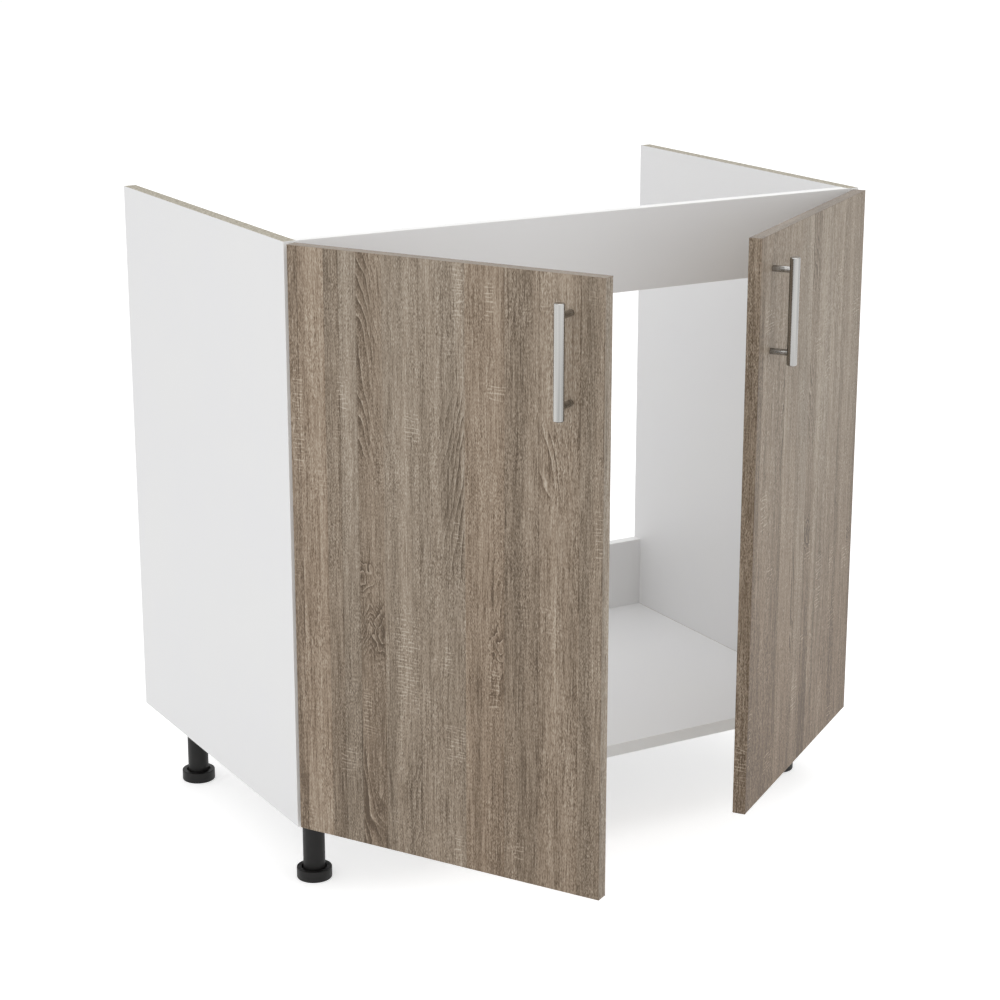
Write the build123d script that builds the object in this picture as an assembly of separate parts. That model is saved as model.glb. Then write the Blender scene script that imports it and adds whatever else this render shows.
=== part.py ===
from build123d import *
from math import cos, radians, sin
import os

# A base cabinet for a kitchen sink, 800 mm wide, on four adjustable legs.
# It has no top, no back and no shelf, so that a sink bowl and its pipes fit inside.
# The two doors stand ajar, the left one further open than the right one.
#
# Frame, in millimetres: X runs to the right, Y from front to back, Z up from the floor.
# The origin is on the floor, under the middle of the cabinet with its doors ajar.

# Carcase
WIDTH = 800.0
DEPTH = 478.0
CARCASE_HEIGHT = 700.0
LEG_HEIGHT = 100.0
BOARD = 16.0
RAIL_HEIGHT = 100.0
CARCASE_BAND = 0.8
FRONT_TO_ORIGIN = 62.0

# Doors
DOOR_WIDTH = 397.0
DOOR_HEIGHT = 695.0
DOOR_THICKNESS = 16.0
DOOR_SIDE_REVEAL = 1.5
DOOR_BOTTOM_REVEAL = 3.5
DOOR_BACK_GAP = 2.0
DOOR_BAND = 1.0
LEFT_DOOR_ANGLE = 60.0
RIGHT_DOOR_ANGLE = 35.0

# Handles
HANDLE_TO_FREE_EDGE = 40.0
UPPER_POST_BELOW_TOP = 40.0
POST_SPACING = 96.0
POST_RADIUS = 3.75
BAR_RADIUS = 6.0
BAR_LENGTH = 125.0
BAR_STANDOFF = 26.0
POST_SOCKET_DEPTH = 3.0
HANDLE_SCREW_RADIUS = 2.0
HANDLE_SCREW_GRIP = 12.0
HANDLE_SCREW_HEAD = (4.0, 1.5)

# Hinges. The door turns about one pin, this far in from its side edge and its outer face.
PIVOT_FROM_EDGE = 6.0
PIVOT_FROM_FACE = 6.0
LOWER_HINGE_Z = LEG_HEIGHT + 100.0
UPPER_HINGE_Z = LEG_HEIGHT + 555.0
CUP_FROM_EDGE = 20.5
CUP_BORE_RADIUS = 17.5
CUP_BORE_DEPTH = 13.0
CUP_RADIUS = 17.4
CUP_FLANGE = 1.2
CUP_SCREW_SPACING = 45.0
CUP_SCREW_OFFSET = 9.5
PIN_RADIUS = 0.95
PIN_LENGTH = 13.0
KNUCKLE_RADIUS = 1.6
KNUCKLE_BORE = 1.0
ARM_THICKNESS = 1.8
ARM_REACH = 15.0
TONGUE_HALF_WIDTH = 3.5
ARM_HALF_WIDTH = 6.0
ARM_LENGTH_IN_CARCASE = 56.0
CHANNEL_INNER = 6.5
CHANNEL_OUTER = 7.9
PLATE_SETBACK = 37.0
PLATE_SCREW_SPACING = 32.0
PLATE_WING = 2.0

# Legs
LEG_X = 350.0
FRONT_LEG_SETBACK = 63.0
REAR_LEG_SETBACK = 423.0
TUBE_RADIUS = 13.5
FOOT_RADIUS = 21.7
FOOT_HEIGHT = 14.0
FOOT_RECESS_RADIUS = 15.8
FOOT_RECESS_DEPTH = 4.0
TUBE_FOOT_GAP = 1.0
STEM_RADIUS = 6.2
STEM_TOP = 62.0
STEM_CLEARANCE = 0.05
BUSH_TOP = 37.0
SOCKET_FLANGE_RADIUS = 29.0
SOCKET_FLANGE = 4.0
SOCKET_RADIUS = 17.0
SOCKET_DEPTH = 22.0
SOCKET_SCREW_CIRCLE = 23.0

# Joinery inside the boards
CAM_FROM_SIDE = 34.0
CAM_RADIUS = 7.5
CAM_DEPTH = 12.5
CAM_BOLT_RADIUS = 2.9
DOWEL_RADIUS = 4.0
DOWEL_IN_SIDE = 10.0
DOWEL_IN_BOARD = 20.0
SCREW_RADIUS = 2.4
FIT = 0.1

# Places worked out from the sizes above
FRONT_Y = -FRONT_TO_ORIGIN
BACK_Y = FRONT_Y + DEPTH
BASE_Z = LEG_HEIGHT
TOP_Z = BASE_Z + CARCASE_HEIGHT
OUTER_X = WIDTH / 2
INNER_X = OUTER_X - BOARD
DOOR_EDGE_X = OUTER_X - DOOR_SIDE_REVEAL
DOOR_INNER_Y = FRONT_Y - DOOR_BACK_GAP
DOOR_OUTER_Y = DOOR_INNER_Y - DOOR_THICKNESS
DOOR_BOTTOM_Z = BASE_Z + DOOR_BOTTOM_REVEAL
DOOR_TOP_Z = DOOR_BOTTOM_Z + DOOR_HEIGHT
PIVOT_X = DOOR_EDGE_X - PIVOT_FROM_EDGE
PIVOT_Y = DOOR_OUTER_Y + PIVOT_FROM_FACE
CUP_X = DOOR_EDGE_X - CUP_FROM_EDGE
HINGES = {"lower": LOWER_HINGE_Z, "upper": UPPER_HINGE_Z}
LEG_SETBACKS = {"front": FRONT_LEG_SETBACK, "rear": REAR_LEG_SETBACK}
BOTTOM_CAM_SETBACKS = (110.0, 376.0)
BOTTOM_DOWEL_SETBACKS = (30.0, 448.0)
RAIL_DOWEL_OFFSET = 30.0
FRONT_RAIL_Y = FRONT_Y + BOARD / 2
REAR_RAIL_Y = BACK_Y - BOARD / 2
FRONT_RAIL_Z = TOP_Z - RAIL_HEIGHT / 2
REAR_RAIL_Z = BASE_Z + BOARD + RAIL_HEIGHT / 2


def block(x_span, y_span, z_span):
    """A box between two limits along each axis."""
    size = [abs(span[1] - span[0]) for span in (x_span, y_span, z_span)]
    middle = [(span[0] + span[1]) / 2 for span in (x_span, y_span, z_span)]
    return Pos(*middle) * Box(*size)


def rod(start, direction, radius, length, tip_radius=None):
    """A cylinder, or a cone where a tip radius is given, from a start point."""
    plane = Plane(origin=start, z_dir=direction)
    if tip_radius is None:
        return Part() + Solid.make_cylinder(radius, length, plane)
    return Part() + Solid.make_cone(radius, tip_radius, length, plane)


def edges_along(shape, axis):
    """The straight edges of a shape that run along one axis."""
    return shape.edges().filter_by(GeomType.LINE).filter_by(axis)


def circles(shape):
    """The circular edges of a shape."""
    return shape.edges().filter_by(GeomType.CIRCLE)


def handed(shape, side):
    """A shape made for the right-hand side, or its mirror image for the left."""
    return shape if side == "right" else mirror(shape, about=Plane.YZ)


def opened(shape, side):
    """A door piece made with its door closed, turned with the door to where it stands ajar."""
    sign = 1 if side == "right" else -1
    angle = RIGHT_DOOR_ANGLE if side == "right" else -LEFT_DOOR_ANGLE
    hinge_line = Axis((sign * PIVOT_X, PIVOT_Y, 0), (0, 0, 1))
    return shape.rotate(hinge_line, angle)


def save(name, *shapes):
    """Writes one or more separate solids as one named piece."""
    solids = [solid for shape in shapes for solid in shape.solids()]
    piece = solids[0] if len(solids) == 1 else Compound(children=solids)
    piece.label = name
    export_step(piece, os.path.join("parts", name + ".step"))


# Joinery. Each fitting is a height and a depth on the side panel, and where its cam opens.


def cam_points():
    """Where the cam bolts sit: Y, Z and the direction in which each cam housing opens."""
    centre_z = BASE_Z + BOARD / 2
    points = [(FRONT_Y + setback, centre_z, (0, 0, -1)) for setback in BOTTOM_CAM_SETBACKS]
    points.append((FRONT_RAIL_Y, FRONT_RAIL_Z, (0, 1, 0)))
    points.append((REAR_RAIL_Y, REAR_RAIL_Z, (0, 1, 0)))
    return points


def dowel_points():
    """Where the wooden dowels sit: Y and Z."""
    centre_z = BASE_Z + BOARD / 2
    points = [(FRONT_Y + setback, centre_z) for setback in BOTTOM_DOWEL_SETBACKS]
    for offset in (-RAIL_DOWEL_OFFSET, RAIL_DOWEL_OFFSET):
        points.append((FRONT_RAIL_Y, FRONT_RAIL_Z + offset))
        points.append((REAR_RAIL_Y, REAR_RAIL_Z + offset))
    return points


def cam_mouth(y, z, opening):
    """The centre of a cam housing where it meets the board's face."""
    half = BOARD / 2
    return (INNER_X - CAM_FROM_SIDE, y + opening[1] * half, z + opening[2] * half)


def opposite(direction):
    """The direction that points the other way."""
    return tuple(-value for value in direction)


def cam_bolt(y, z):
    """A steel bolt, threaded into the side panel, with its head inside the cam."""
    thread = rod((INNER_X - 0.2, y, z), (1, 0, 0), SCREW_RADIUS, 9.2)
    collar = rod((INNER_X - 3, y, z), (1, 0, 0), CAM_BOLT_RADIUS, 2.9)
    shank = rod((INNER_X - 27, y, z), (1, 0, 0), 2.5, 25)
    neck = rod((INNER_X - 31, y, z), (1, 0, 0), 1.5, 5)
    head = rod((INNER_X - 33, y, z), (1, 0, 0), CAM_BOLT_RADIUS, 2.5)
    return thread + collar + shank + neck + head


def cam_housing(y, z, opening):
    """A round cam with a pocket for the bolt head and a cross slot for the driver."""
    mouth = cam_mouth(y, z, opening)
    inwards = opposite(opening)
    cam = rod(mouth, inwards, CAM_RADIUS - FIT, CAM_DEPTH - 0.5)
    cam = chamfer(circles(cam), 0.4)
    cam -= rod((mouth[0] - 2, y, z), (1, 0, 0), CAM_BOLT_RADIUS + 0.3, 12)
    for length, width in ((8, 1.4), (1.4, 8)):
        slot = Pos(*mouth) * Box(length, width if opening[2] else 4, 4 if opening[2] else width)
        cam -= slot
    return cam


def dowel(y, z):
    """A grooved wooden dowel, modelled as a plain rod with chamfered ends."""
    start = (INNER_X - DOWEL_IN_BOARD, y, z)
    peg = rod(start, (1, 0, 0), DOWEL_RADIUS - FIT, DOWEL_IN_BOARD + DOWEL_IN_SIDE)
    return chamfer(circles(peg), 0.8)


def side_panel():
    """A side panel with its blind holes for bolts, dowels and hinge plates."""
    panel = block((INNER_X, OUTER_X), (FRONT_Y + CARCASE_BAND, BACK_Y), (BASE_Z, TOP_Z))
    for y, z, _ in cam_points():
        panel -= rod((INNER_X, y, z), (1, 0, 0), SCREW_RADIUS + FIT, 10)
    for y, z in dowel_points():
        panel -= rod((INNER_X, y, z), (1, 0, 0), DOWEL_RADIUS, DOWEL_IN_SIDE + 0.5)
    for y, z in plate_screw_points():
        panel -= rod((INNER_X, y, z), (1, 0, 0), SCREW_RADIUS + FIT, 12)
    return panel


def bored_for_joinery(board, use_point):
    """A board with the cam, bolt and dowel holes that fall inside it, at both ends."""
    for y, z, opening in cam_points():
        if use_point(y, z):
            mouth = cam_mouth(y, z, opening)
            holes = rod(mouth, opposite(opening), CAM_RADIUS, CAM_DEPTH)
            holes += rod((mouth[0], y, z), (1, 0, 0), CAM_BOLT_RADIUS + 0.3, CAM_FROM_SIDE)
            board = board - holes - mirror(holes, about=Plane.YZ)
    for y, z in dowel_points():
        if use_point(y, z):
            start = (INNER_X - DOWEL_IN_BOARD - 0.5, y, z)
            hole = rod(start, (1, 0, 0), DOWEL_RADIUS, DOWEL_IN_BOARD + 0.5)
            board = board - hole - mirror(hole, about=Plane.YZ)
    return board


def bottom_panel():
    """The floor of the cabinet, between the side panels."""
    y_span = (FRONT_Y + CARCASE_BAND, BACK_Y)
    panel = block((-INNER_X, INNER_X), y_span, (BASE_Z, BASE_Z + BOARD))
    panel = bored_for_joinery(panel, lambda y, z: z < BASE_Z + BOARD)
    for x, y in socket_screw_points():
        panel -= rod((x, y, BASE_Z), (0, 0, 1), 1.85, 12)
    return panel


def front_rail():
    """The upright board that joins the side panels at the top of the front."""
    y_span = (FRONT_Y, FRONT_Y + BOARD)
    z_span = (TOP_Z - RAIL_HEIGHT + CARCASE_BAND, TOP_Z - CARCASE_BAND)
    rail = block((-INNER_X, INNER_X), y_span, z_span)
    return bored_for_joinery(rail, lambda y, z: y < y_span[1] and z > z_span[0])


def rear_rail():
    """The upright board that stands on the bottom panel at the back."""
    y_span = (BACK_Y - BOARD, BACK_Y)
    z_span = (BASE_Z + BOARD, BASE_Z + BOARD + RAIL_HEIGHT - CARCASE_BAND)
    rail = block((-INNER_X, INNER_X), y_span, z_span)
    return bored_for_joinery(rail, lambda y, z: y > y_span[0] and z > z_span[0])


def front_band(x_span, z_span):
    """A plastic edge strip on the front edge of a board, with eased edges."""
    band = block(x_span, (FRONT_Y, FRONT_Y + CARCASE_BAND), z_span)
    long_axis = Axis.Z if z_span[1] - z_span[0] > x_span[1] - x_span[0] else Axis.X
    outer = edges_along(band, long_axis).group_by(Axis.Y)[0]
    return fillet(outer, 0.5)


def rail_band(y_span, z_low):
    """A plastic edge strip that lies on the long edge of a rail."""
    return block((-INNER_X, INNER_X), y_span, (z_low, z_low + CARCASE_BAND))


def make_carcase():
    """Writes the boards, their edge strips and the fittings that join them."""
    for side in ("left", "right"):
        save("side_panel_" + side, handed(side_panel(), side))
    save("bottom_panel", bottom_panel())
    save("front_rail", front_rail())
    save("rear_rail", rear_rail())

    side_band = front_band((INNER_X, OUTER_X), (BASE_Z, TOP_Z))
    save("side_front_bands", side_band, mirror(side_band, about=Plane.YZ))
    save("bottom_front_band", front_band((-INNER_X, INNER_X), (BASE_Z, BASE_Z + BOARD)))
    front_span = (FRONT_Y, FRONT_Y + BOARD)
    top_band = rail_band(front_span, TOP_Z - CARCASE_BAND)
    lower_band = rail_band(front_span, TOP_Z - RAIL_HEIGHT)
    save("front_rail_bands", top_band, lower_band)
    rear_band_z = BASE_Z + BOARD + RAIL_HEIGHT - CARCASE_BAND
    save("rear_rail_band", rail_band((BACK_Y - BOARD, BACK_Y), rear_band_z))

    bolts = [cam_bolt(y, z) for y, z, _ in cam_points()]
    cams = [cam_housing(y, z, opening) for y, z, opening in cam_points()]
    dowels = [dowel(y, z) for y, z in dowel_points()]
    for name, pieces in (("cam_bolts", bolts), ("cam_housings", cams), ("dowels", dowels)):
        save(name, *pieces, *[mirror(piece, about=Plane.YZ) for piece in pieces])


# Hinges, made for the right-hand side with the door closed.


def plate_screw_points():
    """Where the hinge plates are screwed to the side panel: Y and Z."""
    y = FRONT_Y + PLATE_SETBACK
    half = PLATE_SCREW_SPACING / 2
    return [(y, z + step) for z in HINGES.values() for step in (-half, half)]


def strap_x():
    """The X of the middle of the hinge arm where it runs into the cabinet."""
    return PIVOT_X - ARM_REACH


def hinge_plate(z):
    """A mounting plate: a wing with two countersunk holes and a raised block."""
    y = FRONT_Y + PLATE_SETBACK
    wing = block((INNER_X - PLATE_WING, INNER_X), (y - 7, y + 7), (z - 22, z + 22))
    wing = fillet(edges_along(wing, Axis.X), 6)
    block_face = strap_x() + ARM_THICKNESS / 2
    body = block((block_face, INNER_X), (y - 15, y + 18), (z - 6.3, z + 6.3))
    body = fillet(edges_along(body, Axis.X), 1.5)
    plate = wing + body
    for step in (-PLATE_SCREW_SPACING / 2, PLATE_SCREW_SPACING / 2):
        plate -= rod((INNER_X - 4, y, z + step), (1, 0, 0), SCREW_RADIUS + FIT, 4)
        plate -= rod((INNER_X - PLATE_WING, y, z + step), (1, 0, 0), 4.3, 1.8, SCREW_RADIUS + FIT)
    for hole_y in arm_screw_ys():
        plate -= rod((block_face - 1, hole_y, z), (1, 0, 0), SCREW_RADIUS + FIT, 5)
    return plate


def plate_screw(y, z):
    """A countersunk screw that holds a hinge plate to the side panel."""
    head = rod((INNER_X - PLATE_WING, y, z), (1, 0, 0), 4.2, 1.8, SCREW_RADIUS)
    screw = head + rod((INNER_X - 0.3, y, z), (1, 0, 0), SCREW_RADIUS, 11.3)
    return screw - block((INNER_X - 3, INNER_X - 1), (y - 2.6, y + 2.6), (z - 0.5, z + 0.5))


def arm_screw_ys():
    """The Y of the adjusting screw and of the fixing screw of each hinge arm."""
    return (FRONT_Y + PLATE_SETBACK - 9, FRONT_Y + PLATE_SETBACK + 11)


def arm_screw(y, z):
    """A slotted screw through the hinge arm into its plate."""
    face = strap_x() - ARM_THICKNESS / 2
    head = rod((face - 2, y, z), (1, 0, 0), 4.2, 2)
    head = fillet(circles(head).group_by(Axis.X)[0], 0.7)
    screw = head + rod((face - 0.5, y, z), (1, 0, 0), SCREW_RADIUS, 5.8)
    return screw - block((face - 3, face - 0.9), (y - 0.6, y + 0.6), (z - 4.5, z + 4.5))


def hinge_arm(z):
    """The bent steel arm: a knuckle on the pin, a tongue, a bend and a channel over the plate."""
    half = ARM_THICKNESS / 2
    middle = strap_x()
    end_y = FRONT_Y + ARM_LENGTH_IN_CARCASE
    width_starts_y = PIVOT_Y + half
    tongue_z = (z - TONGUE_HALF_WIDTH, z + TONGUE_HALF_WIDTH)
    tongue = block((middle - half, PIVOT_X), (PIVOT_Y - half, PIVOT_Y + half), tongue_z)
    strap_z = (z - ARM_HALF_WIDTH, z + ARM_HALF_WIDTH)
    strap_span = (middle - half, middle + half)
    strap = block(strap_span, (PIVOT_Y - half, FRONT_Y + 16), strap_z)
    strap -= block((0, PIVOT_X), (PIVOT_Y - 3, width_starts_y), (z - 20, tongue_z[0]))
    strap -= block((0, PIVOT_X), (PIVOT_Y - 3, width_starts_y), (tongue_z[1], z + 20))
    wide = block(strap_span, (FRONT_Y + 14, end_y), (z - CHANNEL_OUTER, z + CHANNEL_OUTER))
    arm = tongue + strap + wide
    corner = arm.edges().filter_by(Axis.Z).group_by(Axis.Y)[0].sort_by(Axis.X)[0]
    arm = fillet(corner, 1.6)
    for sign in (-1, 1):
        z_span = sorted((z + sign * CHANNEL_INNER, z + sign * CHANNEL_OUTER))
        lip = block((middle, middle + half + 3), (FRONT_Y + 15, end_y), z_span)
        arm += fillet(edges_along(lip, Axis.Z).group_by(Axis.X)[-1], 1.2)
    knuckle_start = (PIVOT_X, PIVOT_Y, tongue_z[0])
    arm += rod(knuckle_start, (0, 0, 1), KNUCKLE_RADIUS, 2 * TONGUE_HALF_WIDTH)
    arm -= rod(knuckle_start, (0, 0, 1), KNUCKLE_BORE, 2 * TONGUE_HALF_WIDTH)
    for y in arm_screw_ys():
        arm -= rod((middle - 2, y, z), (1, 0, 0), SCREW_RADIUS + 0.2, 4)
    return arm


def hinge_cup(z):
    """A round cup with a flange and two ears, hollow where the arm folds into it."""
    floor_y = DOOR_INNER_Y - CUP_BORE_DEPTH + 0.1
    cup = rod((CUP_X, floor_y, z), (0, 1, 0), CUP_RADIUS, CUP_BORE_DEPTH - 0.1)
    flange_start = (CUP_X, DOOR_INNER_Y, z)
    flange = rod(flange_start, (0, 1, 0), CUP_RADIUS + 1.6, CUP_FLANGE)
    ear_x = CUP_X - CUP_SCREW_OFFSET
    half = CUP_SCREW_SPACING / 2
    ears = block((ear_x - 6, ear_x + 6), (DOOR_INNER_Y, DOOR_INNER_Y + CUP_FLANGE), (z - half, z + half))
    for sign in (-1, 1):
        ears += rod((ear_x, DOOR_INNER_Y, z + sign * half), (0, 1, 0), 6, CUP_FLANGE)
    rim_limit = DOOR_EDGE_X - 3
    flange = flange + ears
    flange -= block((rim_limit, DOOR_EDGE_X + 5), (DOOR_INNER_Y - 1, FRONT_Y), (z - 30, z + 30))
    cup += flange
    pocket_floor = PIVOT_Y - 2.2
    top = FRONT_Y + 1
    narrow = TONGUE_HALF_WIDTH + 0.5
    wide = ARM_HALF_WIDTH + 0.6
    cup -= block((PIVOT_X - 20, PIVOT_X + 2.2), (pocket_floor, top), (z - narrow, z + narrow))
    cup -= block((PIVOT_X - 21, PIVOT_X - 6), (pocket_floor, top), (z - wide, z + wide))
    pin_start = (PIVOT_X, PIVOT_Y, z - PIN_LENGTH / 2)
    cup -= rod(pin_start, (0, 0, 1), PIN_RADIUS, PIN_LENGTH)
    for sign in (-1, 1):
        start = (ear_x, DOOR_INNER_Y - 1, z + sign * half)
        cup -= rod(start, (0, 1, 0), 1.85, 4)
        cup -= rod((ear_x, DOOR_INNER_Y + CUP_FLANGE, z + sign * half), (0, -1, 0), 3.1, 1.1, 1.9)
    return cup


def hinge_pin(z):
    """The steel pin that the arm's knuckle turns on."""
    return rod((PIVOT_X, PIVOT_Y, z - PIN_LENGTH / 2), (0, 0, 1), PIN_RADIUS, PIN_LENGTH)


def cup_screw(z):
    """A countersunk chipboard screw through an ear of the hinge cup."""
    x = CUP_X - CUP_SCREW_OFFSET
    face = DOOR_INNER_Y + CUP_FLANGE
    head = rod((x, face, z), (0, -1, 0), 3.0, 1.1, 1.75)
    screw = head + rod((x, face - 1, z), (0, -1, 0), 1.75, 11)
    for size in ((0.6, 3.4), (3.4, 0.6)):
        screw -= Pos(x, face, z) * Box(size[0], 1.2, size[1])
    return screw


def make_hinges():
    """Writes the plates, arms, cups, pins and screws of the four hinges."""
    for side in ("left", "right"):
        for place, z in HINGES.items():
            name = place + "_" + side
            save("hinge_plate_" + name, handed(hinge_plate(z), side))
            save("hinge_arm_" + name, handed(hinge_arm(z), side))
            save("hinge_cup_" + name, opened(handed(hinge_cup(z), side), side))
            save("hinge_pin_" + name, opened(handed(hinge_pin(z), side), side))
        steps = (-CUP_SCREW_SPACING / 2, CUP_SCREW_SPACING / 2)
        cup_screws = [cup_screw(z + step) for z in HINGES.values() for step in steps]
        save("cup_screws_" + side, *[opened(handed(screw, side), side) for screw in cup_screws])
    plate_screws = [plate_screw(y, z) for y, z in plate_screw_points()]
    arm_screws = [arm_screw(y, z) for z in HINGES.values() for y in arm_screw_ys()]
    for name, screws in (("plate_screws", plate_screws), ("arm_screws", arm_screws)):
        save(name, *screws, *[mirror(screw, about=Plane.YZ) for screw in screws])


# Doors and handles, made for the right-hand side with the door closed.


def free_edge_x():
    """The X of the edge of a closed door that is furthest from its hinges."""
    return DOOR_EDGE_X - DOOR_WIDTH


def handle_x():
    """The X of the handle's axis on a closed door."""
    return free_edge_x() + HANDLE_TO_FREE_EDGE


def post_heights():
    """The Z of each handle post."""
    upper = DOOR_TOP_Z - UPPER_POST_BELOW_TOP
    return {"upper": upper, "lower": upper - POST_SPACING}


def door_panel():
    """A door board with its cup bores and handle holes."""
    x_span = (free_edge_x() + DOOR_BAND, DOOR_EDGE_X - DOOR_BAND)
    z_span = (DOOR_BOTTOM_Z + DOOR_BAND, DOOR_TOP_Z - DOOR_BAND)
    panel = block(x_span, (DOOR_OUTER_Y, DOOR_INNER_Y), z_span)
    for z in HINGES.values():
        panel -= rod((CUP_X, DOOR_INNER_Y, z), (0, -1, 0), CUP_BORE_RADIUS, CUP_BORE_DEPTH)
        for sign in (-1, 1):
            start = (CUP_X - CUP_SCREW_OFFSET, DOOR_INNER_Y, z + sign * CUP_SCREW_SPACING / 2)
            panel -= rod(start, (0, -1, 0), 1.85, 12)
    for z in post_heights().values():
        start = (handle_x(), DOOR_INNER_Y, z)
        panel -= rod(start, (0, -1, 0), HANDLE_SCREW_RADIUS + 0.25, DOOR_THICKNESS)
    return panel


def door_bands():
    """The four plastic strips round the edges of a door, eased on their outer edges."""
    x_low = free_edge_x()
    x_span = (x_low, DOOR_EDGE_X)
    y_span = (DOOR_OUTER_Y, DOOR_INNER_Y)
    z_inner = (DOOR_BOTTOM_Z + DOOR_BAND, DOOR_TOP_Z - DOOR_BAND)
    strips = []
    for z in (DOOR_BOTTOM_Z, DOOR_TOP_Z - DOOR_BAND):
        strip = block(x_span, y_span, (z, z + DOOR_BAND))
        outer = edges_along(strip, Axis.X).group_by(Axis.Z)[0 if z == DOOR_BOTTOM_Z else -1]
        strips.append(fillet(outer, 0.6))
    for x in (x_low, DOOR_EDGE_X - DOOR_BAND):
        strip = block((x, x + DOOR_BAND), y_span, z_inner)
        outer = edges_along(strip, Axis.Z).group_by(Axis.X)[0 if x == x_low else -1]
        strips.append(fillet(outer, 0.6))
    return strips


def handle_bar():
    """The round grip bar, with two blind sockets for its posts."""
    middle = sum(post_heights().values()) / 2
    y = DOOR_OUTER_Y - BAR_STANDOFF
    bar = rod((handle_x(), y, middle - BAR_LENGTH / 2), (0, 0, 1), BAR_RADIUS, BAR_LENGTH)
    bar = chamfer(circles(bar), 0.8)
    for z in post_heights().values():
        start = (handle_x(), y + BAR_RADIUS - POST_SOCKET_DEPTH, z)
        bar -= rod(start, (0, 1, 0), POST_RADIUS + 0.05, POST_SOCKET_DEPTH + 1)
    return bar


def handle_post(z):
    """A round post between the door and the bar, with a threaded hole for its screw."""
    length = BAR_STANDOFF - BAR_RADIUS + POST_SOCKET_DEPTH - 0.05
    post = rod((handle_x(), DOOR_OUTER_Y, z), (0, -1, 0), POST_RADIUS, length)
    post = chamfer(circles(post), 0.25)
    return post - rod((handle_x(), DOOR_OUTER_Y, z), (0, -1, 0), HANDLE_SCREW_RADIUS + FIT, 13)


def handle_screw(z):
    """A machine screw with a flat head, from inside the door into a post."""
    radius, height = HANDLE_SCREW_HEAD
    head = rod((handle_x(), DOOR_INNER_Y, z), (0, 1, 0), radius, height)
    head = fillet(circles(head).group_by(Axis.Y)[-1], 0.5)
    shank_start = (handle_x(), DOOR_INNER_Y + 0.5, z)
    length = DOOR_THICKNESS + HANDLE_SCREW_GRIP + 0.5
    screw = head + rod(shank_start, (0, -1, 0), HANDLE_SCREW_RADIUS, length)
    face = DOOR_INNER_Y + height
    for size in ((0.8, 4.4), (4.4, 0.8)):
        screw -= Pos(handle_x(), face, z) * Box(size[0], 1.6, size[1])
    return screw


def door_bumper(z):
    """A soft round buffer stuck to the inside of the door."""
    start = (free_edge_x() + 16, DOOR_INNER_Y, z)
    bumper = rod(start, (0, 1, 0), 4, 1.5)
    return fillet(circles(bumper).group_by(Axis.Y)[-1], 0.9)


def make_doors():
    """Writes both doors with their edge strips, handles and buffers."""
    bumper_heights = (BASE_Z + 9.5, TOP_Z - 20)
    for side in ("left", "right"):

        def place(shape):
            return opened(handed(shape, side), side)

        save("door_panel_" + side, place(door_panel()))
        save("door_bands_" + side, *[place(strip) for strip in door_bands()])
        save("handle_bar_" + side, place(handle_bar()))
        for height, z in post_heights().items():
            save("handle_post_" + height + "_" + side, place(handle_post(z)))
        screws = [handle_screw(z) for z in post_heights().values()]
        save("handle_screws_" + side, *[place(screw) for screw in screws])
        bumpers = [door_bumper(z) for z in bumper_heights]
        save("door_bumpers_" + side, *[place(bumper) for bumper in bumpers])


# Legs, made at the origin and moved to their places.


def leg_places():
    """The name and the plan position of each leg."""
    places = {}
    for row, setback in LEG_SETBACKS.items():
        for side, sign in (("left", -1), ("right", 1)):
            places[row + "_" + side] = (sign * LEG_X, FRONT_Y + setback)
    return places


def socket_screw_offsets():
    """Where the four screws of a leg socket stand round its axis."""
    angles = [radians(45 + 90 * step) for step in range(4)]
    return [(SOCKET_SCREW_CIRCLE * cos(a), SOCKET_SCREW_CIRCLE * sin(a)) for a in angles]


def socket_screw_points():
    """Where every leg socket screw enters the bottom panel: X and Y."""
    offsets = socket_screw_offsets()
    return [(x + dx, y + dy) for x, y in leg_places().values() for dx, dy in offsets]


def leg_socket():
    """The plastic socket under the bottom panel that a leg tube is pushed into."""
    flange_z = BASE_Z - SOCKET_FLANGE
    flange = rod((0, 0, flange_z), (0, 0, 1), SOCKET_FLANGE_RADIUS, SOCKET_FLANGE)
    flange = fillet(circles(flange).group_by(Axis.Z)[0], 1.5)
    collar = rod((0, 0, BASE_Z - SOCKET_DEPTH), (0, 0, 1), SOCKET_RADIUS, SOCKET_DEPTH - 1)
    collar = fillet(circles(collar).group_by(Axis.Z)[0], 1.0)
    socket = flange + collar
    for step in range(4):
        rib = block((SOCKET_RADIUS - 1, 24), (-1, 1), (flange_z - 10, flange_z + 1))
        rib = chamfer(edges_along(rib, Axis.Y).group_by(Axis.Z)[0].sort_by(Axis.X)[-1], 6.5)
        socket += rib.rotate(Axis.Z, 90 * step)
    socket -= rod((0, 0, BASE_Z - SOCKET_DEPTH - 1), (0, 0, 1), TUBE_RADIUS + FIT, SOCKET_DEPTH - 1)
    for dx, dy in socket_screw_offsets():
        socket -= rod((dx, dy, flange_z - 1), (0, 0, 1), 1.85, SOCKET_FLANGE + 2)
        socket -= rod((dx, dy, flange_z), (0, 0, 1), 3.4, 1.7, 1.8)
    return socket


def leg_tube():
    """The hollow leg, with a bush at its lower end that the foot screws into."""
    bottom = FOOT_HEIGHT - FOOT_RECESS_DEPTH + TUBE_FOOT_GAP
    top = BASE_Z - 3
    tube = rod((0, 0, bottom), (0, 0, 1), TUBE_RADIUS, top - bottom)
    tube = chamfer(circles(tube), 0.6)
    tube -= rod((0, 0, bottom), (0, 0, 1), STEM_RADIUS + STEM_CLEARANCE, BUSH_TOP)
    return tube - rod((0, 0, BUSH_TOP), (0, 0, 1), TUBE_RADIUS - 2.5, BASE_Z)


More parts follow.
